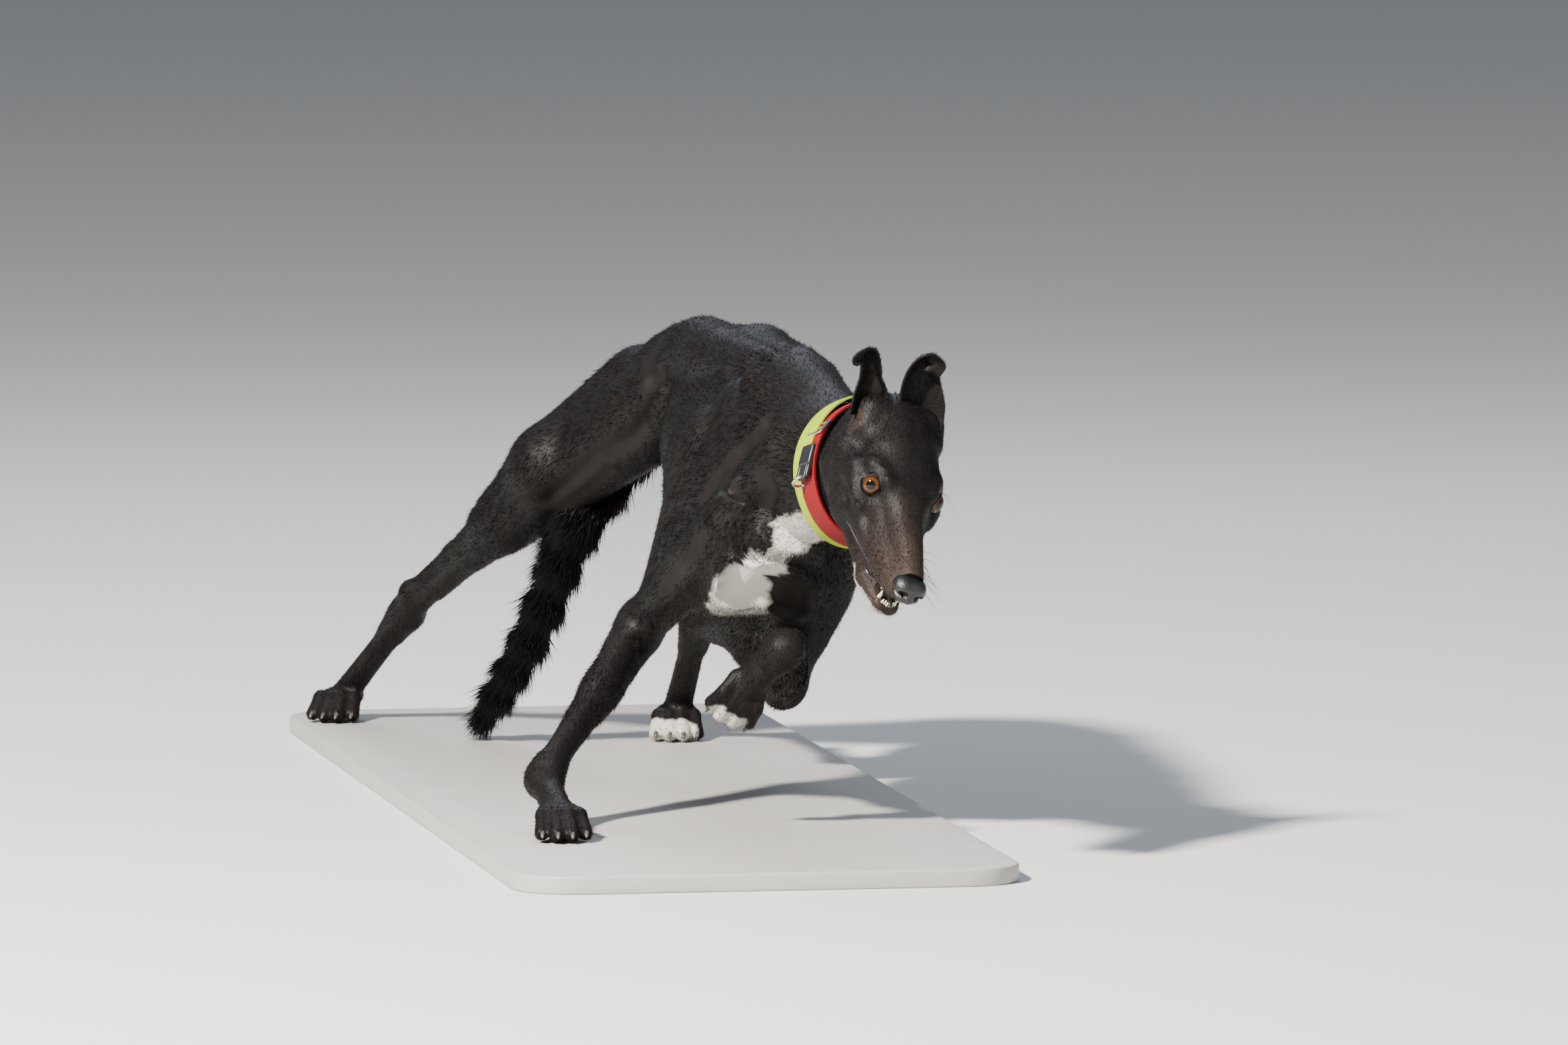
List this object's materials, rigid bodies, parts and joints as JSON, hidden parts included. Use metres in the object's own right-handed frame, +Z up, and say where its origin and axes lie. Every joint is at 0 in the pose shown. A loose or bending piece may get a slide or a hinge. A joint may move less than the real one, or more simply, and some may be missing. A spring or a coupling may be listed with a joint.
{
  "type": "greyhound, still life-size model on a flat base",
  "caption": "Black greyhound with white chest and toes in a low running turn, collared, one foreleg folded, on a flat base.",
  "frame": {"origin": "middle of the underside of the display base", "axes": "+X the way the dog heads, +Y the dog's left, +Z up"},
  "size_m": [1.6, 0.5, 0.5106],
  "materials": {
    "coat": "short flat black coat, soft sheen, white chest and toe tips",
    "claw": "dark grey horn",
    "webbing_red": "woven nylon webbing",
    "webbing_yellow": "fluorescent woven band",
    "buckle_plastic": "moulded black plastic",
    "ring_steel": "bright plated wire",
    "eye": "wet, amber-brown iris",
    "nose_leather": "black pebbled skin",
    "stand": "satin painted board"
  },
  "bodies": {
    "root": {"right_upper_arm": "coat", "right_forearm": "coat", "right_thigh": "coat", "right_shank": "coat", "right_fore_foot": "coat", "right_fore_foot_claw_1": "claw", "right_fore_foot_claw_2": "claw", "right_fore_foot_claw_3": "claw", "right_fore_foot_claw_4": "claw", "right_hind_foot": "coat", "right_hind_foot_claw_1": "claw", "right_hind_foot_claw_2": "claw", "right_hind_foot_claw_3": "claw", "right_hind_foot_claw_4": "claw", "left_upper_arm": "coat", "left_forearm": "coat", "left_thigh": "coat", "left_shank": "coat", "left_fore_foot": "coat", "left_fore_foot_claw_1": "claw", "left_fore_foot_claw_2": "claw", "left_fore_foot_claw_3": "claw", "left_fore_foot_claw_4": "claw", "left_hind_foot": "coat", "left_hind_foot_claw_1": "claw", "left_hind_foot_claw_2": "claw", "left_hind_foot_claw_3": "claw", "left_hind_foot_claw_4": "claw", "tail": "coat", "trunk": "coat", "neck": "coat", "collar_red": "webbing_red", "collar_yellow": "webbing_yellow", "collar_buckle": "buckle_plastic", "collar_side_ring": "ring_steel", "collar_lead_ring": "ring_steel", "right_eye": "eye", "left_eye": "eye", "nose": "nose_leather", "lower_jaw": "coat", "head": "coat", "right_ear": "coat", "left_ear": "coat", "stand_base": "stand"}
  },
  "joints": []
}
